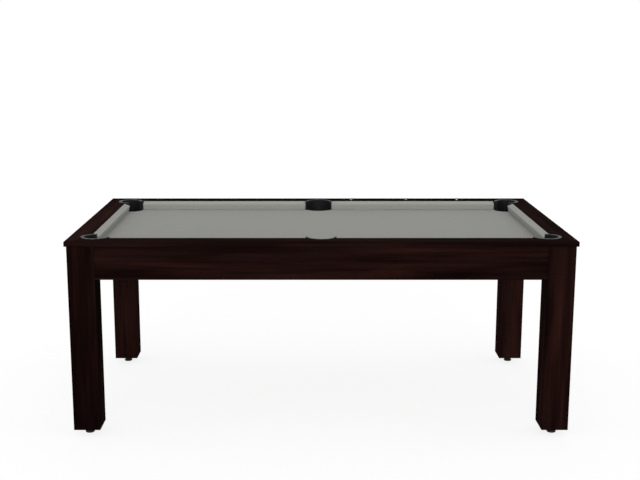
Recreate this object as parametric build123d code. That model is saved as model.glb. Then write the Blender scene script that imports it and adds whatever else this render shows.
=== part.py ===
from build123d import *
from math import acos, cos, sin
import os

# A convertible pool table with its playing surface open. A slate bed lies on a lapped wooden
# frame inside four aprons on square legs. Mitred top rails carry the cloth-covered cushions,
# collars line the six drop pockets, and each leg stands on a screw-down levelling foot.
# Millimetres. X runs along the table, Y across it and Z up. The origin is on the floor under
# the table's centre. Shapes are made for the right back quarter and mirrored to the others.

# Overall sizes
table_length = 2040
table_width = 1130
rail_top_height = 816

# Clearances and overruns shared by the cuts
cut_overrun = 5
fit_clearance = 0.3
running_clearance = 0.08

# Top rails, each with a block behind its cushion that reaches down to the cloth
rail_width = 84
rail_thickness = 20
rail_edge_round = 1.5

# Bed
bed_recess = 40
cloth_thickness = 1
cloth_turn_down = 12
slab_thickness = 19
slab_gap = 2

# Cushions, measured from the rail's inner edge and from its top
cushion_projection = 26
cushion_back_drop = 0.6
nose_drop = 11
nose_round = 3
face_recess = 7
cushion_end_gap = 0.8

# Edges of the bed that the balls drop over. The middle ones are flatter arcs, set back to the rail
corner_drop_radius = 52
middle_drop_radius = 63.5
middle_drop_shift = 36.5
middle_drop_half_width = 57

# Pocket collars. Corner bores and outer circles shift outwards together, middle outer circles alone
middle_bore_radius = 53.5
middle_collar_radius = 62.5
middle_collar_shift = 2.5
middle_arm_tip = 4.5
corner_bore_radius = 44.5
corner_collar_radius = 58.5
corner_collar_shift = 4
corner_arm_setback = 7
collar_proud = 2
collar_inner_round = 2.5
collar_outer_round = 1.2

# Pocket cups
middle_cup_shift = 8
cup_bore_step = 2
cup_wall = 2.5
cup_depth = 82
cup_taper = 4
cup_floor_chamfer = 8
cup_flange_width = 10
cup_flange_thickness = 3

# Legs, and the small round that their edges share with the aprons' lower ones
leg_size_x = 108
leg_size_y = 121
leg_overhang = 8
leg_wall = 24
leg_notch_gap = 26.5
board_edge_round = 0.8

# Aprons
apron_height = 137
apron_thickness = 20

# Bed frame
frame_height = 90
stringer_width = 40
stringer_cup_gap = 39.5
beam_width = 45
beam_place_shares = (0.264, 0.703)

# Joining plates at the legs, and angle brackets at the ends of the frame's timbers
plate_thickness = 3
plate_length = 76
plate_drop = 10
plate_rise = 12
bracket_leg = 40
bracket_thickness = 3
bracket_height = 50

# Rail bolts
bolt_radius = 4
bolt_grip = 10
bolt_head_across = 13
bolt_head_height = 5.5
washer_radius = 11
washer_thickness = 2
long_bolt_place_shares = (0.16, 0.5, 0.84)
end_bolt_place_shares = (-0.52, 0.52)

# Sight dots on the right half of the back rail
sight_radius = 5
sight_depth = 3
sight_inset = 40
sight_place_shares = (0.177, 0.475, 0.75)

# Levelling feet
foot_gap = 28
pad_radius = 18.7
pad_edge_height = 6
pad_height = 13
pad_neck_radius = 9
pad_edge_round = 1
socket_depth = 8
stem_radius = 5
stem_length = 75
nut_across = 17
nut_height = 8
nut_clearance = 1.5
insert_radius = 7.5
insert_length = 22
insert_flange_radius = 12
insert_flange_thickness = 2
stem_bore_spare = 8

# Places worked out from the sizes above
half_length = table_length / 2
half_width = table_width / 2
rail_underside = rail_top_height - rail_thickness
rail_inner_x = half_length - rail_width
rail_inner_y = half_width - rail_width
play_x = rail_inner_x - cushion_projection
play_y = rail_inner_y - cushion_projection
nose_height = rail_top_height - nose_drop
leg_outer_x = half_length - leg_overhang
leg_outer_y = half_width - leg_overhang
leg_inner_x = leg_outer_x - leg_size_x
leg_inner_y = leg_outer_y - leg_size_y
frame_x = leg_outer_x - leg_wall
frame_y = leg_outer_y - leg_wall
apron_bottom = rail_underside - apron_height
cloth_top = rail_top_height - bed_recess
slab_top = cloth_top - cloth_thickness
slab_bottom = slab_top - slab_thickness
slab_x = frame_x - slab_gap
slab_y = frame_y - slab_gap
frame_bottom = slab_bottom - frame_height
cup_floor = slab_top - cup_depth
leg_notch_bottom = cup_floor - cup_wall - leg_notch_gap
middle_cup_rim = middle_bore_radius + cup_bore_step + cup_flange_width
stringer_offset = play_y - middle_cup_rim - stringer_cup_gap - stringer_width / 2
beam_places = [play_x * share for share in beam_place_shares]
foot_x = (leg_outer_x + leg_inner_x) / 2
foot_y = (leg_outer_y + leg_inner_y) / 2
both_sides = (-1, 1)
x_names = {-1: "left", 1: "right"}
y_names = {-1: "front", 1: "back"}
quarters = [(x_side, y_side) for x_side in both_sides for y_side in both_sides]

parts = {}


def block(x_low, x_high, y_low, y_high, z_low, z_high):
    """A box between two opposite corners."""
    centre = Pos((x_low + x_high) / 2, (y_low + y_high) / 2, (z_low + z_high) / 2)
    return centre * Box(x_high - x_low, y_high - y_low, z_high - z_low)


def disc(x, y, radius, z_low, z_high):
    """An upright cylinder between two heights."""
    return Pos(x, y, (z_low + z_high) / 2) * Cylinder(radius, z_high - z_low)


def prism(points, z_low, z_high):
    """An upright prism over an outline."""
    face = make_face(Polyline(*points, close=True))
    return extrude(Pos(0, 0, z_low) * face, z_high - z_low)


def turned(points, x, y):
    """A solid turned about an upright axis, from points of radius and height."""
    outline = make_face(Polyline(*[(radius, 0, height) for radius, height in points], close=True))
    return Pos(x, y, 0) * revolve(outline, Axis.Z)


def mirrored(shape, x_side, y_side):
    """A shape made for the right back quarter, mirrored to another one."""
    if x_side < 0:
        shape = mirror(shape, about=Plane.YZ)
    if y_side < 0:
        shape = mirror(shape, about=Plane.XZ)
    return shape


def on_all_quarters(shape):
    """The four mirrored copies of a shape, as separate solids."""
    return [mirrored(shape, x_side, y_side) for x_side, y_side in quarters]


def quarter_name(x_side, y_side):
    return f"{y_names[y_side]}_{x_names[x_side]}"


# Pockets: the bed's drop edges, and the outer circles of the collars, as upright cylinders


def bed_drop(is_corner, z_low, z_high, step=0):
    """The cylinder whose field side is a pocket's drop edge, widened by a step."""
    if is_corner:
        return disc(play_x, play_y, corner_drop_radius + step, z_low, z_high)
    return disc(0, play_y + middle_drop_shift, middle_drop_radius + step, z_low, z_high)


def collar_cylinder(is_corner, z_low, z_high, clearance=0):
    """The outer cylinder of a collar, centred a little outside the field's edge."""
    if is_corner:
        x = play_x + corner_collar_shift
        y = play_y + corner_collar_shift
        return disc(x, y, corner_collar_radius + clearance, z_low, z_high)
    y = play_y + middle_collar_shift
    return disc(0, y, middle_collar_radius + clearance, z_low, z_high)


def in_front_of_mouth(is_corner, z_low, z_high, clearance=0):
    """All that lies on the field's side of a pocket's mouth, as far as its collar reaches."""
    if is_corner:
        mouth_x = play_x + corner_arm_setback - clearance
        mouth_y = play_y + corner_arm_setback - clearance
        reach = corner_collar_radius + corner_arm_setback
        return block(mouth_x - reach, mouth_x, mouth_y - reach, mouth_y, z_low, z_high)
    reach = middle_collar_radius + clearance
    return block(-reach, reach, play_y - reach, play_y - clearance, z_low, z_high)


def collar_seat(is_corner, z_low, z_high):
    """The room for a collar's lower end in the bed."""
    seat = collar_cylinder(is_corner, z_low, z_high, fit_clearance)
    return seat - in_front_of_mouth(is_corner, z_low, z_high, fit_clearance)


def bed_cut_out(is_corner, z_low, z_high, step=0):
    """A pocket's cut-out in the bed: its drop edge, open to the slab's edge behind it."""
    drop = bed_drop(is_corner, z_low, z_high, step)
    open_y = slab_y + cut_overrun
    if is_corner:
        radius = corner_drop_radius + step
        open_x = slab_x + cut_overrun
        along_end = block(play_x, open_x, play_y - radius, play_y, z_low, z_high)
        along_side = block(play_x - radius, open_x, play_y, open_y, z_low, z_high)
        return drop + (along_side + along_end)
    half = middle_drop_half_width + step
    widest_y = play_y + middle_drop_shift
    front = drop & block(-half, half, play_y - middle_drop_radius, widest_y, z_low, z_high)
    return front + block(-half, half, widest_y, open_y, z_low, z_high)


def cut_pockets(plate, z_low, z_high, step):
    """Takes the six pocket cut-outs and the collars' seats from a plate over the whole bed."""
    corner = bed_cut_out(True, z_low, z_high, step) + collar_seat(True, z_low, z_high)
    middle = bed_cut_out(False, z_low, z_high, step) + collar_seat(False, z_low, z_high)
    middles = [mirrored(middle, 1, y_side) for y_side in both_sides]
    return plate - on_all_quarters(corner) - middles


# Rail bolts, from under the slab through the rail's block into the top rail

block_middle_x = (rail_inner_x + slab_x) / 2
block_middle_y = (rail_inner_y + slab_y) / 2
bolt_places = [
    (x_side * play_x * share, y_side * block_middle_y)
    for share in long_bolt_place_shares
    for x_side, y_side in quarters
]
bolt_places += [
    (x_side * block_middle_x, share * play_y)
    for share in end_bolt_place_shares
    for x_side in both_sides
]


def rail_bolt(x, y):
    """A hexagon bolt with its washer against the slab's underside."""
    washer_bottom = slab_bottom - washer_thickness
    head_bottom = washer_bottom - bolt_head_height
    hexagon = RegularPolygon(bolt_head_across / 2, 6, major_radius=False)
    head = extrude(Pos(x, y, head_bottom) * hexagon, bolt_head_height)
    washer = disc(x, y, washer_radius, washer_bottom, slab_bottom)
    return head + washer + disc(x, y, bolt_radius, slab_bottom, rail_underside + bolt_grip)


bolt_holes = [
    disc(x, y, bolt_radius + fit_clearance, slab_bottom, rail_underside + bolt_grip + fit_clearance)
    for x, y in bolt_places
]
parts["rail_bolts"] = [rail_bolt(x, y) for x, y in bolt_places]


# Bed


def make_slab():
    slab = block(-slab_x, slab_x, -slab_y, slab_y, slab_bottom, slab_top)
    return cut_pockets(slab, slab_bottom, slab_top, cloth_thickness) - bolt_holes


def turned_down_lip(is_corner):
    """The cloth's edge, turned down over the slab's edge on the field side of a pocket."""
    low = slab_top - cloth_turn_down
    ring = bed_drop(is_corner, low, slab_top, cloth_thickness)
    ring -= bed_drop(is_corner, low, slab_top)
    if is_corner:
        reach = corner_drop_radius + cloth_thickness
        return ring & block(play_x - reach, play_x, play_y - reach, play_y, low, slab_top)
    half = middle_drop_half_width
    ring &= block(-half, half, play_y - middle_drop_radius, play_y + middle_drop_shift, low, slab_top)
    return ring - collar_seat(False, low, slab_top)


def make_cloth():
    cloth = block(-slab_x, slab_x, -slab_y, slab_y, slab_top, cloth_top)
    cloth = cut_pockets(cloth, slab_top, cloth_top, 0) - bolt_holes
    lips = [mirrored(turned_down_lip(False), 1, y_side) for y_side in both_sides]
    return cloth + on_all_quarters(turned_down_lip(True)) + lips


parts["bed_slab"] = make_slab()
parts["bed_cloth"] = make_cloth()


# Bed frame: two stringers with their tops lapped over by four cross beams


def stringer_at(offset):
    low = offset - stringer_width / 2
    high = offset + stringer_width / 2
    stringer = block(-frame_x, frame_x, low, high, frame_bottom, slab_bottom)
    for x_side in both_sides:
        for place in beam_places:
            x = x_side * place
            lap_bottom = slab_bottom - frame_height / 2
            stringer -= block(x - beam_width / 2, x + beam_width / 2, low, high, lap_bottom, slab_bottom)
    return stringer


def beam_at(x):
    beam = block(x - beam_width / 2, x + beam_width / 2, -frame_y, frame_y, frame_bottom, slab_bottom)
    for y_side in both_sides:
        low = y_side * stringer_offset - stringer_width / 2
        high = y_side * stringer_offset + stringer_width / 2
        lap_top = slab_bottom - frame_height / 2
        beam -= block(x - beam_width / 2, x + beam_width / 2, low, high, frame_bottom, lap_top)
    return beam


for y_side in both_sides:
    parts[f"{y_names[y_side]}_stringer"] = stringer_at(y_side * stringer_offset)
for x_side in both_sides:
    for position, place in zip(("inner", "outer"), beam_places):
        parts[f"{x_names[x_side]}_{position}_cross_beam"] = beam_at(x_side * place)


# Fixings of the frame


def angle_bracket(corner_x, corner_y, along_x, along_y):
    """An upright angle in the corner between a timber and an apron."""
    top = slab_bottom - plate_drop
    low = top - bracket_height
    reach_x = corner_x + along_x * bracket_leg
    reach_y = corner_y + along_y * bracket_leg
    skin_x = corner_x + along_x * bracket_thickness
    skin_y = corner_y + along_y * bracket_thickness
    xs = sorted((corner_x, reach_x))
    ys = sorted((corner_y, reach_y))
    whole = block(*xs, *ys, low, top)
    hollow_xs = sorted((skin_x, reach_x))
    hollow_ys = sorted((skin_y, reach_y))
    return whole - block(*hollow_xs, *hollow_ys, low, top)


beam_brackets = [
    angle_bracket(place + beam_width / 2, frame_y, 1, -1) for place in beam_places
]
stringer_bracket = angle_bracket(frame_x, stringer_offset - stringer_width / 2, -1, -1)
parts["frame_brackets"] = [
    copy for bracket in beam_brackets + [stringer_bracket] for copy in on_all_quarters(bracket)
]

plate_top = slab_bottom - plate_drop
plate_bottom = leg_notch_bottom + plate_rise
side_plate = block(
    leg_inner_x - plate_length / 2,
    leg_inner_x + plate_length / 2,
    frame_y - plate_thickness,
    frame_y,
    plate_bottom,
    plate_top,
)
end_plate = block(
    frame_x - plate_thickness,
    frame_x,
    leg_inner_y - plate_length / 2,
    leg_inner_y + plate_length / 2,
    plate_bottom,
    plate_top,
)
parts["leg_joint_plates"] = on_all_quarters(side_plate) + on_all_quarters(end_plate)


# Aprons, with their inner faces in the plane of the legs' walls


def make_side_apron():
    outer = frame_y + apron_thickness
    apron = block(-leg_inner_x, leg_inner_x, frame_y, outer, apron_bottom, rail_underside)
    return fillet(apron.edges().filter_by(Axis.X).group_by(Axis.Z)[0], board_edge_round)


def make_end_apron():
    outer = frame_x + apron_thickness
    apron = block(frame_x, outer, -leg_inner_y, leg_inner_y, apron_bottom, rail_underside)
    return fillet(apron.edges().filter_by(Axis.Y).group_by(Axis.Z)[0], board_edge_round)


for side in both_sides:
    parts[f"{y_names[side]}_apron"] = mirrored(make_side_apron(), 1, side)
    parts[f"{x_names[side]}_apron"] = mirrored(make_end_apron(), side, 1)


# Legs, each cut away inside at the top so that a pocket cup can hang in it


def make_leg():
    leg = block(leg_inner_x, leg_outer_x, leg_inner_y, leg_outer_y, foot_gap, rail_underside)
    leg = fillet(leg.edges().filter_by(Axis.Z) + leg.faces().sort_by(Axis.Z)[0].edges(), board_edge_round)
    leg -= block(leg_inner_x, frame_x, leg_inner_y, frame_y, leg_notch_bottom, rail_underside)
    stem_top = pad_height - socket_depth + stem_length
    flange_top = foot_gap + insert_flange_thickness
    leg -= disc(foot_x, foot_y, insert_flange_radius, foot_gap, flange_top)
    leg -= disc(foot_x, foot_y, insert_radius, flange_top, foot_gap + insert_length)
    return leg - disc(
        foot_x, foot_y, stem_radius + fit_clearance, foot_gap + insert_length, stem_top + stem_bore_spare
    )


leg = make_leg()
for x_side, y_side in quarters:
    parts[f"{quarter_name(x_side, y_side)}_leg"] = mirrored(leg, x_side, y_side)


# Top rails, mitred at the corners


def mitred_bar(outer_inset, inner_inset, z_low, z_high, is_side):
    """A bar between two insets from the table's outline, cut at the diagonals of its corners."""
    insets = (outer_inset, outer_inset, inner_inset, inner_inset)
    ends = (-1, 1, 1, -1)
    if is_side:
        points = [(end * (half_length - inset), half_width - inset) for end, inset in zip(ends, insets)]
    else:
        points = [(half_length - inset, end * (half_width - inset)) for end, inset in zip(ends, insets)]
    return prism(points, z_low, z_high)


def long_edges(rail, is_side, is_outer):
    """The rail's edges that run its whole length on its outer side, or on its inner side at the top."""
    along = Axis.X if is_side else Axis.Y
    across = Axis.Y if is_side else Axis.X
    edges = rail.edges().filter_by(along).group_by(across)
    return edges[-1] if is_outer else edges[0].group_by(Axis.Z)[-1]


def make_top_rail(is_side):
    rail = mitred_bar(0, rail_width, rail_underside, rail_top_height, is_side)
    rail = fillet(long_edges(rail, is_side, True), rail_edge_round)
    rail = fillet(long_edges(rail, is_side, False), rail_edge_round)
    block_outer = half_width - slab_y
    rail += mitred_bar(block_outer, rail_width, cloth_top, rail_underside, is_side)
    corner = collar_cylinder(True, cloth_top, rail_top_height, fit_clearance)
    if is_side:
        middle = collar_cylinder(False, cloth_top, rail_top_height, fit_clearance)
        return rail - [mirrored(corner, x_side, 1) for x_side in both_sides] - middle - bolt_holes
    return rail - [mirrored(corner, 1, y_side) for y_side in both_sides] - bolt_holes


sight_y = half_width - sight_inset
sight_dots = [
    disc(play_x * share, sight_y, sight_radius, rail_top_height - sight_depth, rail_top_height)
    for share in sight_place_shares
]
side_rail = make_top_rail(True)
end_rail = make_top_rail(False)
parts["front_rail"] = mirrored(side_rail, 1, -1)
parts["back_rail"] = side_rail - sight_dots
parts["left_rail"] = mirrored(end_rail, -1, 1)
parts["right_rail"] = end_rail
parts["sight_dots"] = sight_dots


# Cushions: a rubber strip, and the cloth that covers its top, nose, face and ends


def cushion_profile(skin):
    """The cushion's section, as distance in front of the rail and height, drawn in by a skin."""
    back_top = rail_top_height - cushion_back_drop - skin
    tip = cushion_projection - skin
    foot = cushion_projection - face_recess - skin
    points = [(0, cloth_top), (foot, cloth_top), (tip, nose_height - skin), (0, back_top)]
    section = make_face(Polyline(*points, close=True))
    nose = section.vertices().sort_by(Axis.X)[-1]
    return fillet(nose, nose_round - skin)


def cushion_strip(is_side, low, high, skin):
    """A length of cushion along the back rail or the right rail."""
    if is_side:
        place = Plane(origin=(high, rail_inner_y, 0), x_dir=(0, -1, 0), z_dir=(-1, 0, 0))
    else:
        place = Plane(origin=(rail_inner_x, low, 0), x_dir=(-1, 0, 0), z_dir=(0, 1, 0))
    return extrude(place * cushion_profile(skin), high - low)


def cushion_pair(is_side, low, high):
    """The rubber and its cover."""
    rubber = cushion_strip(is_side, low + cloth_thickness, high - cloth_thickness, cloth_thickness)
    cover = cushion_strip(is_side, low, high, 0) - rubber
    return rubber, cover


corner_arm_reach = corner_collar_radius - corner_collar_shift
middle_end = middle_collar_radius + cushion_end_gap
side_end = play_x - corner_arm_reach - cushion_end_gap
end_end = play_y - corner_arm_reach - cushion_end_gap
rubber, cover = cushion_pair(True, middle_end, side_end)
for x_side, y_side in quarters:
    parts[f"{quarter_name(x_side, y_side)}_cushion_rubber"] = mirrored(rubber, x_side, y_side)
    parts[f"{quarter_name(x_side, y_side)}_cushion_cover"] = mirrored(cover, x_side, y_side)
rubber, cover = cushion_pair(False, -end_end, end_end)
for side in both_sides:
    parts[f"{x_names[side]}_end_cushion_rubber"] = mirrored(rubber, side, 1)
    parts[f"{x_names[side]}_end_cushion_cover"] = mirrored(cover, side, 1)


# Pocket collars and cups


def make_corner_collar():
    """A C-shaped collar that stands on its cup's flange and a little proud of the rails."""
    top = rail_top_height + collar_proud
    centre_x = play_x + corner_collar_shift
    centre_y = play_y + corner_collar_shift
    collar = collar_cylinder(True, slab_bottom, top)
    collar -= disc(centre_x, centre_y, corner_bore_radius, slab_bottom, top)
    return with_rounded_top(collar - in_front_of_mouth(True, slab_bottom, top))


def make_middle_collar():
    """A half-round collar whose bore flares to thin arm tips at the mouth."""
    top = rail_top_height + collar_proud
    collar = collar_cylinder(False, slab_bottom, top) - in_front_of_mouth(False, slab_bottom, top)
    collar -= disc(0, play_y, middle_bore_radius, slab_bottom, top)
    mouth = middle_collar_radius - middle_arm_tip
    turn = acos(middle_bore_radius / mouth)
    touch_x = middle_bore_radius * cos(turn)
    touch_y = play_y + middle_bore_radius * sin(turn)
    flare = [(-mouth, play_y), (mouth, play_y), (touch_x, touch_y), (-touch_x, touch_y)]
    return with_rounded_top(collar - prism(flare, slab_bottom, top))


def with_rounded_top(collar):
    collar = fillet(top_arc(collar, True), collar_inner_round)
    return fillet(top_arc(collar, False), collar_outer_round)


def top_arc(collar, is_bore):
    """The edge of a collar's top round its bore, or round its outer side."""
    arcs = collar.edges().group_by(Axis.Z)[-1].filter_by(GeomType.CIRCLE)
    return arcs.sort_by(SortBy.RADIUS)[0 if is_bore else -1]


def make_cup(is_corner):
    """A tapered cup that hangs by its flange under the slab."""
    mouth = (corner_drop_radius if is_corner else middle_bore_radius) + cup_bore_step
    rim = mouth + cup_flange_width
    base = mouth - cup_taper
    flange_bottom = slab_bottom - cup_flange_thickness
    points = [
        (0, cup_floor - cup_wall),
        (base - cup_floor_chamfer + cup_wall, cup_floor - cup_wall),
        (base + cup_wall, cup_floor - cup_wall + cup_floor_chamfer),
        (mouth + cup_wall, flange_bottom),
        (rim, flange_bottom),
        (rim, slab_bottom),
        (mouth, slab_bottom),
        (base, cup_floor + cup_floor_chamfer),
        (base - cup_floor_chamfer, cup_floor),
        (0, cup_floor),
    ]
    if is_corner:
        return turned(points, play_x, play_y)
    return turned(points, 0, play_y + middle_cup_shift)


corner_collar = make_corner_collar()
middle_collar = make_middle_collar()
corner_cup = make_cup(True)
middle_cup = make_cup(False)
for x_side, y_side in quarters:
    name = quarter_name(x_side, y_side)
    parts[f"{name}_pocket_collar"] = mirrored(corner_collar, x_side, y_side)
    parts[f"{name}_pocket_cup"] = mirrored(corner_cup, x_side, y_side)
for side in both_sides:
    parts[f"{y_names[side]}_middle_pocket_collar"] = mirrored(middle_collar, 1, side)
    parts[f"{y_names[side]}_middle_pocket_cup"] = mirrored(middle_cup, 1, side)


# Levelling feet


def make_pad():
    """A round pad with a socket for its stem."""
    points = [
        (0, 0),
        (pad_radius - pad_edge_round, 0),
        (pad_radius, pad_edge_round),
        (pad_radius, pad_edge_height),
        (pad_neck_radius, pad_height),
        (stem_radius + running_clearance, pad_height),
        (stem_radius + running_clearance, pad_height - socket_depth),
        (0, pad_height - socket_depth),
    ]
    return turned(points, foot_x, foot_y)


def make_stem():
    """A threaded stem, drawn plain, with the hexagon that turns it."""
    low = pad_height - socket_depth
    nut_low = pad_height + nut_clearance
    hexagon = RegularPolygon(nut_across / 2, 6, major_radius=False)
    nut = extrude(Pos(foot_x, foot_y, nut_low) * hexagon, nut_height)
    return nut + disc(foot_x, foot_y, stem_radius, low, low + stem_length)


def make_insert():
    """A flanged sleeve in the leg that the stem screws through."""
    flange_top = foot_gap + insert_flange_thickness
    insert = disc(foot_x, foot_y, insert_flange_radius, foot_gap, flange_top)
    insert += disc(foot_x, foot_y, insert_radius, flange_top, foot_gap + insert_length)
    bore = stem_radius + running_clearance
    return insert - disc(foot_x, foot_y, bore, foot_gap, foot_gap + insert_length)


for x_side, y_side in quarters:
    name = quarter_name(x_side, y_side)
    parts[f"{name}_foot_pad"] = mirrored(make_pad(), x_side, y_side)
    parts[f"{name}_foot_stem"] = mirrored(make_stem(), x_side, y_side)
parts["foot_inserts"] = on_all_quarters(make_insert())


os.makedirs("parts", exist_ok=True)
for name, shape in parts.items():
    if isinstance(shape, list):
        shape = Compound(children=[solid for copy in shape for solid in copy.solids()])
    export_step(shape, f"parts/{name}.step")
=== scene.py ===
from math import acos, ceil, cos, hypot, pi, radians, sin, tan

import bmesh
import bpy
from mathutils import Matrix, Vector


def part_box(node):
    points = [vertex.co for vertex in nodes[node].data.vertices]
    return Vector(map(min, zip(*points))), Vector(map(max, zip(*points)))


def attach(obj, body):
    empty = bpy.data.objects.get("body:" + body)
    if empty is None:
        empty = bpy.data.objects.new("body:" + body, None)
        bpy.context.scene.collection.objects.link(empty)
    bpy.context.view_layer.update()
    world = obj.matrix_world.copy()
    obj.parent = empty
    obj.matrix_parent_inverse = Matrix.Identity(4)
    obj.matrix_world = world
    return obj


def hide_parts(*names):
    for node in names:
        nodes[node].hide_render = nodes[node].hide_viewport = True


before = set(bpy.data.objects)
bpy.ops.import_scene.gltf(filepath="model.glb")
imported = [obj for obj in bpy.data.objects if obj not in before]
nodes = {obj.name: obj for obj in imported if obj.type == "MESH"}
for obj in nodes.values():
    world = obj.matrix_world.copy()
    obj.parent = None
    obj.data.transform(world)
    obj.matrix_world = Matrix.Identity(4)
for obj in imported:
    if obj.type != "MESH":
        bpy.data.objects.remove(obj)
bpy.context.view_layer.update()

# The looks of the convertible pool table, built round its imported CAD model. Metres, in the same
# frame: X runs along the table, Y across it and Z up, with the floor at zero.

millimetre = 0.001

# Camera, as the photograph has it, with its sensor's width in millimetres
photo_width, photo_height = 640, 480
focal_pixels = 1084.06
vanishing_column, vanishing_row = 305.73, 249.72
camera_pitch = radians(11.458)
camera_place = (-0.0622, -4.7661, 1.6359)
sensor_width = 36

# Places read from the frame
rail_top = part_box("back_rail")[1].z
bed_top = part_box("bed_cloth")[1].z
slab_low, slab_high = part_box("bed_slab")
sides = (-1, 1)
y_names = {-1: "front", 1: "back"}
x_names = {-1: "left", 1: "right"}
quarter_names = [f"{y_names[y]}_{x_names[x]}" for x in sides for y in sides]

# Pockets
cup_flange_width = 10 * millimetre
cup_bore_step = 2 * millimetre
corner_arm_setback = 7 * millimetre
middle_drop_radius = 63.5 * millimetre
middle_drop_shift = 36.5 * millimetre
collar_clearance = 0.3 * millimetre

# Bed cloth
cloth_thickness = 1 * millimetre
lip_height = 12 * millimetre
lip_round = 3 * millimetre
lip_border = 4 * millimetre
arc_steps = 32
round_steps = 5

# Cushion section, measured from the rail's inner edge and from its top
cushion_projection = 26 * millimetre
nose_drop = 11 * millimetre
nose_round = 3 * millimetre
face_recess = 7 * millimetre
joint_depth = 4 * millimetre
joint_round = 1 * millimetre
foot_round = 0.8 * millimetre
foot_tuck = 3 * millimetre
end_round = 1.8 * millimetre
cover_thickness = 0.9 * millimetre
section_steps = 8

# Levelling feet: the stem's thread, and the hexagon above the pad
stem_radius = 5 * millimetre
stem_sides = 24
thread_pitch = 1.5 * millimetre
thread_depth = 0.9 * millimetre
thread_step = thread_pitch / 6
thread_start = 17.5 * millimetre
thread_lead = 1 * millimetre
crest_share = 0.12
nut_across = 17 * millimetre
nut_height = 8 * millimetre
nut_clearance = 1.5 * millimetre
nut_bore = 4.6 * millimetre
nut_face_share = 0.95
nut_chamfer = radians(30)
nut_flat_turn = pi / 3
nut_sides = 48

# Screws: heads with a cross recess, and their places on the plates, brackets and cup flanges
head_radius = 3.6 * millimetre
head_height = 2.2 * millimetre
head_sides = 24
recess_half_width = 0.45 * millimetre
recess_reach = 2.3 * millimetre
recess_depth = 0.9 * millimetre
screw_turn = 0.7
screw_inset = 12 * millimetre
plate_screw_reach = 24 * millimetre
plate_thickness = 3 * millimetre
bracket_leg = 40 * millimetre
bracket_thickness = 3 * millimetre
cup_flange_thickness = 3 * millimetre
cup_screw_inset = 4 * millimetre

# Shading: edges that turn by more than these stay sharp
sharp_turn = radians(35)
screw_sharp_turn = radians(50)

# Wood pattern: cells of noise per metre along and across the grain, and the relief's depths
figure_cells = (1.1, 17)
streak_cells = (3.5, 120)
patch_cells = (1.6, 11)
band_cells = (1.2, 14)
pore_cells = (45, 1400)
pore_depth = 0.12 * millimetre
streak_relief = 0.05 * millimetre

# Cloth pattern: cells of noise per metre along X, Y and Z, the weave's scale, and the relief's heights
yarn_cells = (260, 900, 600)
fibre_cells = (900, 3000, 2000)
shade_cells = (3, 5, 5)
weave_scale = (380, 380, 380)
weave_relief = 0.05 * millimetre
fibre_relief = 0.08 * millimetre

# Light: each lamp's azimuth, elevation and spread in degrees, and its strength
lamps = {
    "front_lamp": (0, 5, 50, 0.92),
    "back_lamp": (180, 10, 60, 0.3),
    "left_lamp": (-90, 10, 60, 0.26),
    "right_lamp": (90, 10, 60, 0.26),
    "top_lamp": (0, 80, 90, 0.2),
}
lamp_distance = 5
sky_strength = 0.45
floor_reach = 30
floor_tone = (0.8, 0.8, 0.8)
floor_seen_tone = (0.2, 0.2, 0.2)
floor_lift = 0.82


# Materials


class Graph:
    """A material's nodes, with short calls that add and join them."""

    def __init__(self, name, settings):
        self.material = bpy.data.materials.new(name)
        self.material.use_nodes = True
        self.tree = self.material.node_tree
        self.shader = self.tree.nodes["Principled BSDF"]
        self.place = (0, 0, 0)
        for socket, value in settings.items():
            self.shader.inputs[socket].default_value = value

    def add(self, kind, settings=None, **properties):
        """A new node, with values or outputs for its sockets and values for its properties."""
        node = self.tree.nodes.new("ShaderNode" + kind)
        for name, value in properties.items():
            setattr(node, name, value)
        for socket, value in (settings or {}).items():
            self.put(value, node.inputs[socket])
        return node

    def put(self, value, socket):
        """Joins an output to a socket, or sets the socket's own value."""
        if isinstance(value, bpy.types.NodeSocket):
            self.tree.links.new(value, socket)
        else:
            socket.default_value = value

    def stretched(self, scale):
        """Object coordinates, scaled apart along X, Y and Z and moved to a place in the pattern."""
        place = self.add("TexCoord").outputs["Object"]
        settings = {"Vector": place, "Scale": scale, "Location": self.place}
        return self.add("Mapping", settings).outputs["Vector"]

    def noise(self, cells, detail=4, roughness=0.55, distortion=0):
        """A cloudy value, with so many cells of noise per metre along X, Y and Z."""
        settings = {
            "Vector": self.stretched(cells),
            "Scale": 1,
            "Detail": detail,
            "Roughness": roughness,
            "Distortion": distortion,
        }
        return self.add("TexNoise", settings).outputs["Fac"]

    def ramp(self, value, tones, places=(0.3, 0.5, 0.7)):
        """A colour for each share of a value, from tones at places along it."""
        node = self.add("ValToRGB", {"Fac": value})
        elements = node.color_ramp.elements
        while len(elements) < len(tones):
            elements.new(1)
        for element, place, tone in zip(elements, places, tones):
            element.position = place
            element.color = (*tone, 1)
        return node.outputs["Color"]

    def level(self, value, low, high, start=0.3, end=0.7):
        """A value's range from start to end, spread from low to high."""
        settings = {"Value": value, "From Min": start, "From Max": end, "To Min": low, "To Max": high}
        return self.add("MapRange", settings).outputs["Result"]

    def mix(self, share, first, second, way="MIX"):
        """The first colour with a share of the second mixed in, or blended with it in another way."""
        # Inputs 0, 6 and 7 and output 2 are the node's own for colours
        node = self.add("Mix", data_type="RGBA", blend_type=way)
        share_socket, first_socket, second_socket = (node.inputs[index] for index in (0, 6, 7))
        self.put(share, share_socket)
        self.put(first, first_socket)
        self.put(second, second_socket)
        return node.outputs[2]

    def bump(self, height, distance, strength, under=None):
        """A relief of a height in metres, sunk where it is negative, on top of another if one is given."""
        settings = {"Height": height, "Distance": distance, "Strength": strength}
        if under is not None:
            settings["Normal"] = under
        return self.add("Bump", settings).outputs["Normal"]

    def finish(self, **sockets):
        """Sets the shader's sockets, named with _ for a space, and hands back the material."""
        for name, value in sockets.items():
            self.put(value, self.shader.inputs[name.replace("_", " ")])
        return self.material


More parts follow.
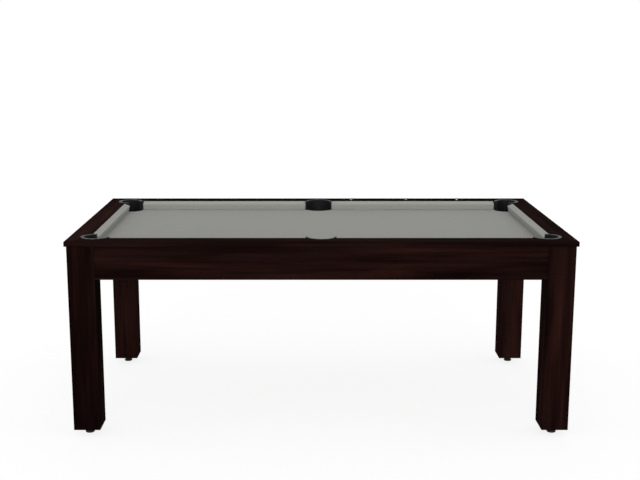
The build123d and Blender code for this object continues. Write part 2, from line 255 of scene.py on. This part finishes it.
def along_axis(axis, along, across):
    """A scale that stretches a pattern along one axis, 0 for X to 2 for Z."""
    return tuple(along if i == axis else across for i in range(3))


def lightened(tones, lightness):
    """Tones made lighter or darker by one factor."""
    return [tuple(channel * lightness for channel in tone) for tone in tones]


def wood_material(
    name, axis, tones, patch_tone, pore_tone, roughness, specular, coat=0, place=(0, 0, 0), uneven=0
):
    """Open-grained wood with its grain along one axis: figure, streaks, patches, bands and short pores."""
    graph = Graph(name, {"Specular IOR Level": specular, "Coat Weight": coat, "Coat Roughness": 0.35})
    graph.place = place
    figure = graph.noise(along_axis(axis, *figure_cells), detail=5, distortion=0.5)
    streaks = graph.noise(along_axis(axis, *streak_cells), detail=6, roughness=0.65)
    patches = graph.noise(along_axis(axis, *patch_cells), detail=3)
    streaked = graph.mix(0.40, figure, streaks)
    colour = graph.ramp(streaked, tones, places=(0.36, 0.47, 0.56, 0.68))
    patch_share = graph.level(patches, 0, 0.65, start=0.45, end=0.68)
    colour = graph.mix(patch_share, colour, (*patch_tone, 1))
    if uneven:
        bands = graph.noise(along_axis(axis, *band_cells), detail=2)
        shade = graph.level(bands, 1 - uneven, 1 + uneven, start=0.38, end=0.62)
        colour = graph.mix(1, colour, shade, "MULTIPLY")
    pores = graph.noise(along_axis(axis, *pore_cells), detail=2, roughness=0.4)
    holes = graph.level(pores, 0, 1, start=0.62, end=0.72)
    colour = graph.mix(holes, colour, (*pore_tone, 1))
    gloss = graph.level(streaks, roughness - 0.07, roughness + 0.08)
    normal = graph.bump(holes, -pore_depth, strength=0.7)
    normal = graph.bump(streaks, streak_relief, strength=0.5, under=normal)
    return graph.finish(Base_Color=colour, Roughness=gloss, Normal=normal)


def dark_wood(name, axis, lightness, place):
    """One board's veneer: near-black brown with reddish figure, made lighter or darker by the board, partly
    for its own tone and partly as painted light and shade.
    """
    tones = (
        (0.0026, 0.0010, 0.0009),
        (0.0055, 0.0021, 0.0018),
        (0.0098, 0.0035, 0.0029),
        (0.0185, 0.0058, 0.0045),
    )
    patch_tone, pore_tone = (0.0102, 0.0043, 0.0035), (0.0022, 0.0010, 0.0008)
    *tones, patch_tone = lightened((*tones, patch_tone), lightness)
    return wood_material(
        f"dark_wood_{name}",
        axis,
        tones,
        patch_tone,
        pore_tone,
        roughness=0.45,
        specular=0,
        coat=0.006,
        place=place,
        uneven=0.38,
    )


def frame_timber(axis):
    """Planed softwood with its grain along one axis."""
    tones = (
        (0.40, 0.24, 0.12),
        (0.50, 0.33, 0.18),
        (0.56, 0.39, 0.23),
        (0.62, 0.45, 0.28),
    )
    patch_tone, pore_tone = (0.47, 0.32, 0.18), (0.34, 0.20, 0.10)
    return wood_material(
        f"frame_timber_{'xyz'[axis]}", axis, tones, patch_tone, pore_tone, roughness=0.62, specular=0.3
    )


def cloth_material(name, lightness):
    """Napped wool cloth: heathered yarns, a fine weave and a nap brushed along the table."""
    graph = Graph(name, {"Sheen Weight": 0.03, "Sheen Roughness": 0.5, "Specular IOR Level": 0.0})
    yarns = graph.noise(yarn_cells, detail=3, roughness=0.6)
    fibres = graph.noise(fibre_cells, detail=2, roughness=0.6)
    shades = graph.noise(shade_cells, detail=3)
    tones = (
        (0.225, 0.226, 0.209),
        (0.272, 0.273, 0.252),
        (0.315, 0.315, 0.293),
    )
    fibre_tone, shade_tone = (0.33, 0.33, 0.31), (0.225, 0.229, 0.215)
    *tones, fibre_tone, shade_tone = lightened((*tones, fibre_tone, shade_tone), lightness)
    colour = graph.ramp(yarns, tones)
    colour = graph.mix(graph.level(fibres, 0, 0.35), colour, (*fibre_tone, 1))
    colour = graph.mix(graph.level(shades, 0, 0.12), colour, (*shade_tone, 1))
    weave = []
    for way in ("X", "Y"):
        settings = {"Vector": graph.stretched(weave_scale), "Scale": 1}
        weave.append(graph.add("TexWave", settings, bands_direction=way).outputs["Fac"])
    threads = graph.mix(0.5, *weave)
    gloss = graph.level(yarns, 0.86, 0.96)
    normal = graph.bump(threads, weave_relief, strength=0.35)
    normal = graph.bump(fibres, fibre_relief, strength=0.6, under=normal)
    return graph.finish(Base_Color=colour, Roughness=gloss, Normal=normal)


def moulded_material(name, tone, light_tone, roughness, specular):
    """Moulded plastic or rubber with a fine textured skin."""
    graph = Graph(name, {"Specular IOR Level": specular})
    skin = graph.noise(cells=(1500, 1500, 1500), detail=3)
    marks = graph.noise(cells=(22, 22, 22), detail=4)
    colour = graph.mix(graph.level(marks, 0, 0.6), (*tone, 1), (*light_tone, 1))
    gloss = graph.level(marks, roughness - 0.06, roughness + 0.08)
    normal = graph.bump(skin, 0.06 * millimetre, strength=0.5)
    return graph.finish(Base_Color=colour, Roughness=gloss, Normal=normal)


def steel_material():
    """Zinc-plated steel: a fine rolled grain and cloudy plating."""
    graph = Graph("plated_steel", {"Metallic": 1.0})
    clouds = graph.noise(cells=(60, 60, 60), detail=4)
    rolled = graph.noise(cells=(90, 90, 1600), detail=3)
    colour = graph.ramp(clouds, ((0.50, 0.50, 0.50), (0.60, 0.60, 0.61), (0.68, 0.66, 0.60)))
    gloss = graph.level(clouds, 0.26, 0.42)
    normal = graph.bump(rolled, 0.02 * millimetre, strength=0.5)
    return graph.finish(Base_Color=colour, Roughness=gloss, Normal=normal)


def slate_material():
    """Ground slate with faint layers and fine grinding marks."""
    graph = Graph("slate", {"Specular IOR Level": 0.3})
    layers = graph.noise(cells=(7, 11, 260), detail=6, distortion=0.5)
    grit = graph.noise(cells=(900, 900, 900), detail=3)
    colour = graph.ramp(layers, ((0.045, 0.052, 0.060), (0.062, 0.070, 0.079), (0.088, 0.094, 0.100)))
    gloss = graph.level(grit, 0.55, 0.75)
    normal = graph.bump(grit, 0.1 * millimetre, strength=0.5)
    return graph.finish(Base_Color=colour, Roughness=gloss, Normal=normal)


def pearl_material():
    """Pale pearl plastic with soft cloudy bands."""
    graph = Graph("sight_plastic", {"Specular IOR Level": 0.5, "Coat Weight": 0.4})
    clouds = graph.noise(cells=(420, 260, 420), detail=4, distortion=1.2)
    colour = graph.ramp(clouds, ((0.52, 0.50, 0.45), (0.62, 0.61, 0.57), (0.70, 0.69, 0.66)))
    gloss = graph.level(clouds, 0.18, 0.28)
    return graph.finish(Base_Color=colour, Roughness=gloss)


# Each board's way of grain, lightness and place in the veneer; the lightness is partly the veneer's own tone
# and partly painted light and shade
# Painted light: boards that sit in shade, such as the back legs under the table, are made lighter to make up
# for it
boards = {
    "front_rail": (0, 1.12, (30, 40, 39)),
    "back_rail": (0, 0.50, (7, 1, 0)),
    "left_rail": (1, 1.34, (18, 32, 15)),
    "right_rail": (1, 0.95, (5, 11, 21)),
    "front_apron": (0, 1.01, (56, 16, 27)),
    "back_apron": (0, 1.10, (5, 0, 8)),
    "left_apron": (1, 1.00, (0, 4, 2)),
    "right_apron": (1, 1.00, (0, 9, 6)),
    "front_left_leg": (2, 0.83, (40, 19, 33)),
    "front_right_leg": (2, 1.08, (19, 33, 31)),
    "back_left_leg": (2, 1.06, (58, 47, 22)),
    "back_right_leg": (2, 1.45, (19, 16, 47)),
}
timber_along = [frame_timber(axis) for axis in range(2)]
bed_cloth = cloth_material("bed_cloth", lightness=1)
# The cushions' cloth is the bed's cloth made lighter: painted light that lifts the cushions' tops and faces
cushion_cloth = cloth_material("cushion_cloth", lightness=1.06)
steel = steel_material()
# Each moulded material's tone, the tone of its marks, its roughness and its specular level
collar_plastic = moulded_material("collar_plastic", (0.006, 0.006, 0.0065), (0.010, 0.010, 0.011), 0.55, 0.08)
cup_plastic = moulded_material("cup_plastic", (0.010, 0.010, 0.0105), (0.016, 0.016, 0.017), 0.6, 0.15)
pad_plastic = moulded_material("pad_plastic", (0.008, 0.008, 0.008), (0.014, 0.014, 0.015), 0.5, 0.3)
rubber = moulded_material("cushion_rubber", (0.012, 0.012, 0.013), (0.02, 0.02, 0.02), 0.7, 0.3)
slate = slate_material()
pearl = pearl_material()

finishes = [
    *((name, dark_wood(name, *values)) for name, values in boards.items()),
    ("_stringer", timber_along[0]),
    ("_cross_beam", timber_along[1]),
    ("_cushion_rubber", rubber),
    ("_cushion_cover", cushion_cloth),
    ("bed_cloth", bed_cloth),
    ("bed_slab", slate),
    ("_pocket_collar", collar_plastic),
    ("_pocket_cup", cup_plastic),
    ("rail_bolts", steel),
    ("leg_joint_plates", steel),
    ("frame_brackets", steel),
    ("_foot_stem", steel),
    ("foot_inserts", steel),
    ("_foot_pad", pad_plastic),
    ("sight_dots", pearl),
]
for name, piece in nodes.items():
    finish = next(material for ending, material in finishes if name.endswith(ending))
    piece.data.materials.clear()
    piece.data.materials.append(finish)


# Building pieces


def make_piece(name, points, faces, material, body="table", sharp=sharp_turn):
    """A smooth-shaded mesh object that rides on a body."""
    mesh = bpy.data.meshes.new(name)
    mesh.from_pydata([tuple(point) for point in points], [], faces)
    mesh.validate()
    surface = bmesh.new()
    surface.from_mesh(mesh)
    bmesh.ops.recalc_face_normals(surface, faces=surface.faces)
    surface.to_mesh(mesh)
    surface.free()
    mesh.polygons.foreach_set("use_smooth", [True] * len(mesh.polygons))
    mesh.set_sharp_from_angle(angle=sharp)
    mesh.materials.append(material)
    piece = bpy.data.objects.new(name, mesh)
    bpy.context.scene.collection.objects.link(piece)
    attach(piece, body)
    return piece


def bridge(first, second, count, closed):
    """Quads between two rows of points, given the index that each row starts at."""
    steps = count if closed else count - 1
    return [
        (first + i, first + (i + 1) % count, second + (i + 1) % count, second + i)
        for i in range(steps)
    ]


def thicken(piece, thickness):
    """Gives a piece's surface a thickness on its inner side."""
    shell = piece.modifiers.new("thickness", "SOLIDIFY")
    shell.thickness = thickness
    shell.offset = -1


def rounded(corners, radii, steps):
    """An open line of points through corners, each turned with its own radius, zero for none."""
    line = []
    for i, (corner, radius) in enumerate(zip(corners, radii)):
        if radius == 0:
            line.append(corner)
            continue
        before = (corners[i - 1] - corner).normalized()
        after = (corners[i + 1] - corner).normalized()
        half = before.angle(after) / 2
        centre = corner + (before + after).normalized() * (radius / sin(half))
        first = corner + before * (radius / tan(half)) - centre
        last = corner + after * (radius / tan(half)) - centre
        turn = first.angle_signed(last)
        for step in range(steps + 1):
            spin = Matrix.Rotation(-turn * step / steps, 2)
            line.append(centre + spin @ first)
    return line


# Bed cloth


def arc_edge(centre, radius, start, end):
    """Points along an arc and the ways that they face, from one angle to another."""
    edge = []
    for step in range(arc_steps + 1):
        angle = start + (end - start) * step / arc_steps
        way = Vector((cos(angle), sin(angle)))
        edge.append((centre + way * radius, way))
    return edge


def corner_cut():
    """The cut for the right back pocket: its drop edge, up to the collar's arms, and the cuts beside it."""
    low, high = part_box("back_right_pocket_cup")
    centre = ((low + high) / 2).xy
    radius = (high.x - low.x) / 2 - cup_flange_width - cup_bore_step
    edge = arc_edge(centre, radius, 3 / 2 * pi, pi)
    reach = corner_arm_setback - collar_clearance
    edge.insert(0, (edge[0][0] + Vector((reach, 0)), edge[0][1]))
    edge.append((edge[-1][0] + Vector((0, reach)), edge[-1][1]))
    before = Vector((slab_high.x, edge[0][0].y - lip_round))
    after = Vector((edge[-1][0].x - lip_round, slab_high.y))
    return [before], edge, [after]


def middle_cut():
    """The cut for the back middle pocket: an arc up to the collar's mouth, and the collar's seat."""
    low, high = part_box("back_middle_pocket_collar")
    mouth = low.y - collar_clearance
    half = high.x + collar_clearance
    centre = Vector((0, low.y + middle_drop_shift))
    turn = acos((centre.y - mouth) / middle_drop_radius)
    edge = arc_edge(centre, middle_drop_radius, 3 / 2 * pi + turn, 3 / 2 * pi - turn)
    shoulder = (edge[0][0] + edge[0][1] * lip_round).x
    before = [Vector(place) for place in ((half, slab_high.y), (half, mouth), (shoulder, mouth))]
    after = [Vector((-point.x, point.y)) for point in reversed(before)]
    return before, edge, after


def mirrored_cut(cut, x_side, y_side):
    """A pocket's cut on another side of the table, still running the same way round the slab."""
    side = Vector((x_side, y_side))
    before, edge, after = cut
    before = [point * side for point in before]
    edge = [(point * side, way * side) for point, way in edge]
    after = [point * side for point in after]
    if x_side * y_side < 0:
        return after[::-1], edge[::-1], before[::-1]
    return before, edge, after


def make_bed_cloth():
    """The cloth over the slab, turned down round the edge of each pocket."""
    # The lip's section, as insets from the drop edge and drops below the bed
    drops = [(lip_round + lip_border, 0)]
    for step in range(round_steps + 1):
        angle = pi / 2 * step / round_steps
        drops.append((lip_round * (1 - sin(angle)), lip_round * (1 - cos(angle))))
    drops.append((0, cloth_thickness + lip_height))
    corner, middle = corner_cut(), middle_cut()
    cuts = (
        (corner, 1, 1),
        (middle, 1, 1),
        (corner, -1, 1),
        (corner, -1, -1),
        (middle, -1, -1),
        (corner, 1, -1),
    )
    points, faces, rim = [], [], []
    for cut, x_side, y_side in cuts:
        before, edge, after = mirrored_cut(cut, x_side, y_side)
        rows = []
        for inset, drop in drops:
            rows.append(len(points))
            points += [Vector((*(point + way * inset), bed_top - drop)) for point, way in edge]
        for upper, lower in zip(rows, rows[1:]):
            faces += bridge(upper, lower, len(edge), False)
        first = len(points)
        points += [Vector((*point, bed_top)) for point in before + after]
        middle_of_rim = [rows[1], *range(rows[0], rows[0] + len(edge)), rows[1] + len(edge) - 1]
        rim += [*range(first, first + len(before)), *middle_of_rim, *range(first + len(before), len(points))]
    faces.append(tuple(rim))
    piece = make_piece("bed_cloth_sheet", points, faces, bed_cloth)
    piece.data.polygons[-1].use_smooth = False
    thicken(piece, cloth_thickness)
    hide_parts("bed_cloth")


make_bed_cloth()


# Cushion covers


def cushion_section(back_top):
    """The cover's outer line, as distance from the rail and height, from the joint to the bed."""
    foot = cushion_projection - face_recess
    corners = [
        Vector((0, back_top - joint_depth)),
        Vector((0, back_top)),
        Vector((cushion_projection, rail_top - nose_drop)),
        Vector((foot, bed_top)),
        Vector((foot - foot_tuck, bed_top)),
    ]
    return rounded(corners, (0, joint_round, nose_round, foot_round, 0), section_steps)


def drawn_in(section, amount):
    """The section moved inwards by an amount, except where it lies on the rail or the bed."""
    line = []
    for i, point in enumerate(section):
        before = section[max(i - 1, 0)]
        after = section[min(i + 1, len(section) - 1)]
        run = (after - before).normalized()
        moved = point + Vector((run.y, -run.x)) * amount
        line.append(Vector((max(moved.x, 0), max(moved.y, bed_top))))
    return line


def make_cushion_cover(name, is_side, side):
    """Cloth drawn over a cushion's top, nose and face, and folded over its two ends."""
    node = f"{name}_cushion_cover"
    low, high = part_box(node)
    start, end = (low.x, high.x) if is_side else (low.y, high.y)
    back = max(abs(low.y), abs(high.y)) if is_side else max(abs(low.x), abs(high.x))
    section = cushion_section(high.z)
    # The rounding of an end, as places along the cushion and how far the section is drawn in there
    stations = []
    for step in range(round_steps + 1):
        angle = pi / 2 * step / round_steps
        stations.append((end_round * (1 - cos(angle)), end_round * (1 - sin(angle))))
    rings = [(start + along, drawn) for along, drawn in stations]
    rings += [(end - along, drawn) for along, drawn in reversed(stations)]
    points, faces, rows = [], [], []
    for along, drawn in rings:
        rows.append(len(points))
        for distance, height in drawn_in(section, drawn):
            across = side * (back - distance)
            points.append((along, across, height) if is_side else (across, along, height))
    for first, second in zip(rows, rows[1:]):
        faces += bridge(first, second, len(section), False)
    for row, along in ((rows[0], start), (rows[-1], end)):
        points.append((along, side * back, bed_top) if is_side else (side * back, along, bed_top))
        faces.append((*range(row, row + len(section)), len(points) - 1))
    piece = make_piece(f"{name}_cushion_cloth", points, faces, cushion_cloth)
    thicken(piece, cover_thickness)
    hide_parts(node)


for x in sides:
    make_cushion_cover(f"{x_names[x]}_end", False, x)
    for y in sides:
        make_cushion_cover(f"{y_names[y]}_{x_names[x]}", True, y)


# Levelling feet: a threaded stem with a chamfered hexagon


def thread_radius(turn_share):
    """The thread's radius at a share of one turn: a crest, two flanks and a root."""
    rise = abs(2 * (turn_share % 1) - 1)
    return stem_radius - thread_depth * min(max((rise - crest_share) / (1 - 2 * crest_share), 0), 1)


def stem_rings(low, high):
    """Heights up the stem with the thread's turns at each, or None where the stem is plain."""
    rings = [(low, None), (low + thread_start, None)]
    count = ceil((high - low - thread_start - thread_lead) / thread_step)
    for i in range(count + 1):
        rings.append((low + thread_start + (i + 1) * thread_step, i * thread_step / thread_pitch))
    rings = [ring for ring in rings if ring[0] < high - thread_lead]
    return [*rings, (high - thread_lead, None), (high, None)]


def add_stem(points, faces, centre, low, high):
    """A closed stem: plain up through the hexagon, then a helical thread and a tapered tip."""
    rings = stem_rings(low, high)
    for i, (height, turns) in enumerate(rings):
        for j in range(stem_sides):
            radius = stem_radius - thread_depth
            if turns is not None:
                radius = thread_radius(turns - j / stem_sides)
            elif i < len(rings) - 2:
                radius = stem_radius
            if i == len(rings) - 1:
                radius -= thread_lead
            angle = 2 * pi * j / stem_sides
            points.append((centre.x + radius * cos(angle), centre.y + radius * sin(angle), height))
    for i in range(len(rings) - 1):
        faces += bridge(i * stem_sides, (i + 1) * stem_sides, stem_sides, True)
    faces.append(tuple(range(stem_sides - 1, -1, -1)))
    last = (len(rings) - 1) * stem_sides
    faces.append(tuple(range(last, last + stem_sides)))


def add_hexagon(points, faces, centre, low, high):
    """A nut whose corners are turned off at both ends, with its flats as the CAD has them."""
    flat = nut_across / 2
    face = flat * nut_face_share
    # Each ring's radius, or None for the hexagon's own, its height, and the way that the chamfer moves it
    profile = [
        (nut_bore, low, 0),
        (face, low, 0),
        (None, low, 1),
        (None, high, -1),
        (face, high, 0),
        (nut_bore, high, 0),
    ]
    start = len(points)
    for ring, height, chamfer_way in profile:
        for j in range(nut_sides):
            angle = 2 * pi * j / nut_sides
            to_flat = (angle + nut_flat_turn / 2) % nut_flat_turn - nut_flat_turn / 2
            edge = flat / cos(to_flat)
            radius = edge if ring is None else ring
            at = height + chamfer_way * (edge - face) * tan(nut_chamfer)
            points.append((centre.x + radius * cos(angle), centre.y + radius * sin(angle), at))
    for i in range(len(profile)):
        after = (i + 1) % len(profile)
        faces += bridge(start + i * nut_sides, start + after * nut_sides, nut_sides, True)


def make_foot_stems():
    """A threaded stem with its hexagon for each foot, riding on the stem's own body."""
    for quarter in quarter_names:
        node = f"{quarter}_foot_stem"
        low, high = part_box(node)
        pad_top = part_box(f"{quarter}_foot_pad")[1].z
        centre = (low + high) / 2
        points, faces = [], []
        add_stem(points, faces, centre, low.z, high.z)
        nut_low = pad_top + nut_clearance
        add_hexagon(points, faces, centre, nut_low, nut_low + nut_height)
        piece = make_piece(f"{quarter}_threaded_stem", points, faces, steel, node)
        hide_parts(node)


make_foot_stems()


# Screws: pan heads with a cross recess, on the plates, brackets and cup flanges


def screw_head():
    """One head's rings of points and faces, rising along +Z from a flat seat at zero."""
    # Shares of the head's radius and height
    profile = [(1, 0), (1, 0.35), (0.93, 0.62), (0.78, 0.82), (0.58, 0.94), (0.40, 0.99), (0.22, 1.0)]
    points, faces = [], []
    for radius_share, height_share in profile:
        for j in range(head_sides):
            angle = 2 * pi * j / head_sides
            x = head_radius * radius_share * cos(angle)
            y = head_radius * radius_share * sin(angle)
            in_cross = min(abs(x), abs(y)) < recess_half_width and hypot(x, y) < recess_reach
            height = head_height * height_share - (recess_depth if in_cross else 0)
            points.append(Vector((x, y, height)))
    for i in range(len(profile) - 1):
        faces += bridge(i * head_sides, (i + 1) * head_sides, head_sides, True)
    points.append(Vector((0, 0, head_height - recess_depth)))
    last = (len(profile) - 1) * head_sides
    faces += [(last + j, last + (j + 1) % head_sides, len(points) - 1) for j in range(head_sides)]
    faces.append(tuple(range(head_sides - 1, -1, -1)))
    return points, faces


def make_screws(name, places):
    """All the screws of one kind: heads at places, each facing its way and turned on from the last."""
    head_points, head_faces = screw_head()
    points, faces = [], []
    for index, (place, way) in enumerate(places):
        start = len(points)
        turn = Matrix.Rotation(index * screw_turn, 3, "Z")
        stand = Vector(way).to_track_quat("Z", "Y").to_matrix()
        points += [Vector(place) + stand @ turn @ point for point in head_points]
        faces += [tuple(start + corner for corner in face) for face in head_faces]
    make_piece(name, points, faces, steel, sharp=screw_sharp_turn)


def plate_screw_places():
    """Four screws through each joining plate, two into the leg and two into the apron."""
    low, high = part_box("leg_joint_plates")
    leg_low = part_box("back_right_leg")[0]
    middle = (low.z + high.z) / 2
    lift = (high.z - low.z) / 2 - screw_inset
    places = []
    for along in (-plate_screw_reach, plate_screw_reach):
        for height in (middle - lift, middle + lift):
            for x in sides:
                for y in sides:
                    side_x = x * (leg_low.x + along)
                    places.append(((side_x, y * (high.y - plate_thickness), height), (0, -y, 0)))
                    end_y = y * (leg_low.y + along)
                    places.append(((x * (high.x - plate_thickness), end_y, height), (-x, 0, 0)))
    return places


def bracket_screw_places():
    """Two screws through each leaf of the angle brackets."""
    low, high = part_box("frame_brackets")
    heights = (low.z + screw_inset, high.z - screw_inset)
    reach = bracket_thickness + (bracket_leg - bracket_thickness) / 2
    corners = []
    for name in ("inner", "outer"):
        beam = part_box(f"right_{name}_cross_beam")[1]
        corners.append((beam.x, beam.y, 1, -1))
    stringer_low, stringer_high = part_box("back_stringer")
    corners.append((stringer_high.x, stringer_low.y, -1, -1))
    places = []
    for corner_x, corner_y, along_x, along_y in corners:
        for height in heights:
            for x in sides:
                for y in sides:
                    far_x = x * (corner_x + along_x * reach)
                    far_y = y * (corner_y + along_y * reach)
                    near_x = x * (corner_x + along_x * bracket_thickness)
                    near_y = y * (corner_y + along_y * bracket_thickness)
                    places.append(((far_x, near_y, height), (0, y * along_y, 0)))
                    places.append(((near_x, far_y, height), (x * along_x, 0, 0)))
    return places


def cup_screw_places():
    """Four screws up through each cup's flange into the slab."""
    places = []
    for node in nodes:
        if node.endswith("_pocket_cup"):
            low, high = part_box(node)
            centre = (low + high) / 2
            ring = (high.x - low.x) / 2 - cup_screw_inset
            for quarter in range(4):
                angle = pi / 4 + quarter * pi / 2
                x = centre.x + ring * cos(angle)
                y = centre.y + ring * sin(angle)
                places.append(((x, y, high.z - cup_flange_thickness), (0, 0, -1)))
    return places


make_screws("plate_screws", plate_screw_places())
make_screws("bracket_screws", bracket_screw_places())
make_screws("cup_screws", cup_screw_places())


# Floor, backdrop, lamps and camera


def seen_share(tree):
    """A value of one for rays that show the background: the camera's, and those in gloss or glass."""
    rays = tree.nodes.new("ShaderNodeLightPath")
    seen = rays.outputs["Is Camera Ray"]
    for name in ("Is Glossy Ray", "Is Transmission Ray"):
        either = tree.nodes.new("ShaderNodeMath")
        either.operation = "MAXIMUM"
        tree.links.new(seen, either.inputs[0])
        tree.links.new(rays.outputs[name], either.inputs[1])
        seen = either.outputs[0]
    return seen


def make_floor():
    """A plain floor that shows as white to the camera and keeps the table's shadow."""
    corners = [(x * floor_reach, y * floor_reach, 0) for x, y in ((-1, -1), (1, -1), (1, 1), (-1, 1))]
    mesh = bpy.data.meshes.new("floor")
    mesh.from_pydata(corners, [], [(0, 1, 2, 3)])
    floor = bpy.data.objects.new("floor", mesh)
    bpy.context.scene.collection.objects.link(floor)
    graph = Graph("floor", {"Roughness": 0.9, "Specular IOR Level": 0.0})
    graph.shader.inputs["Emission Color"].default_value = (1, 1, 1, 1)
    seen = seen_share(graph.tree)
    lift = graph.add("Math", {0: seen, 1: floor_lift}, operation="MULTIPLY").outputs[0]
    tone = graph.mix(seen, (*floor_tone, 1), (*floor_seen_tone, 1))
    mesh.materials.append(graph.finish(Base_Color=tone, Emission_Strength=lift))


def make_backdrop():
    """A grey sky that lights the table, and shows as white to the camera."""
    world = bpy.data.worlds.new("studio")
    world.use_nodes = True
    bpy.context.scene.world = world
    tree = world.node_tree
    background = tree.nodes["Background"]
    strength = tree.nodes.new("ShaderNodeMapRange")
    strength.inputs["To Min"].default_value = sky_strength
    strength.inputs["To Max"].default_value = 1
    tree.links.new(seen_share(tree), strength.inputs["Value"])
    tree.links.new(strength.outputs["Result"], background.inputs["Strength"])
    background.inputs["Color"].default_value = (1, 1, 1, 1)


def add_soft_lamp(name, azimuth, elevation, spread, strength):
    """A broad distant lamp, as strong as a share of what shows a colour as it is written."""
    lamp = bpy.data.lights.new(name, "SUN")
    lamp.angle = radians(spread)
    lamp.energy = pi * strength
    holder = bpy.data.objects.new(name, lamp)
    around, rise = radians(azimuth), radians(elevation)
    way = Vector((sin(around) * cos(rise), -cos(around) * cos(rise), sin(rise)))
    holder.location = way * lamp_distance
    holder.rotation_euler = (-way).to_track_quat("-Z", "Y").to_euler()
    bpy.context.scene.collection.objects.link(holder)


def add_camera():
    """The camera that was fitted to the straight edges in the photograph."""
    data = bpy.data.cameras.new("camera")
    data.sensor_width = sensor_width
    data.lens = sensor_width * focal_pixels / photo_width
    data.shift_x = (photo_width / 2 - vanishing_column) / photo_width
    data.shift_y = (vanishing_row - photo_height / 2) / photo_width
    camera = bpy.data.objects.new("camera", data)
    camera.location = camera_place
    camera.rotation_euler = (pi / 2 - camera_pitch, 0, 0)
    bpy.context.scene.collection.objects.link(camera)
    bpy.context.scene.camera = camera


make_floor()
make_backdrop()
for name, values in lamps.items():
    add_soft_lamp(name, *values)
add_camera()
bpy.context.scene.view_settings.view_transform = "Standard"
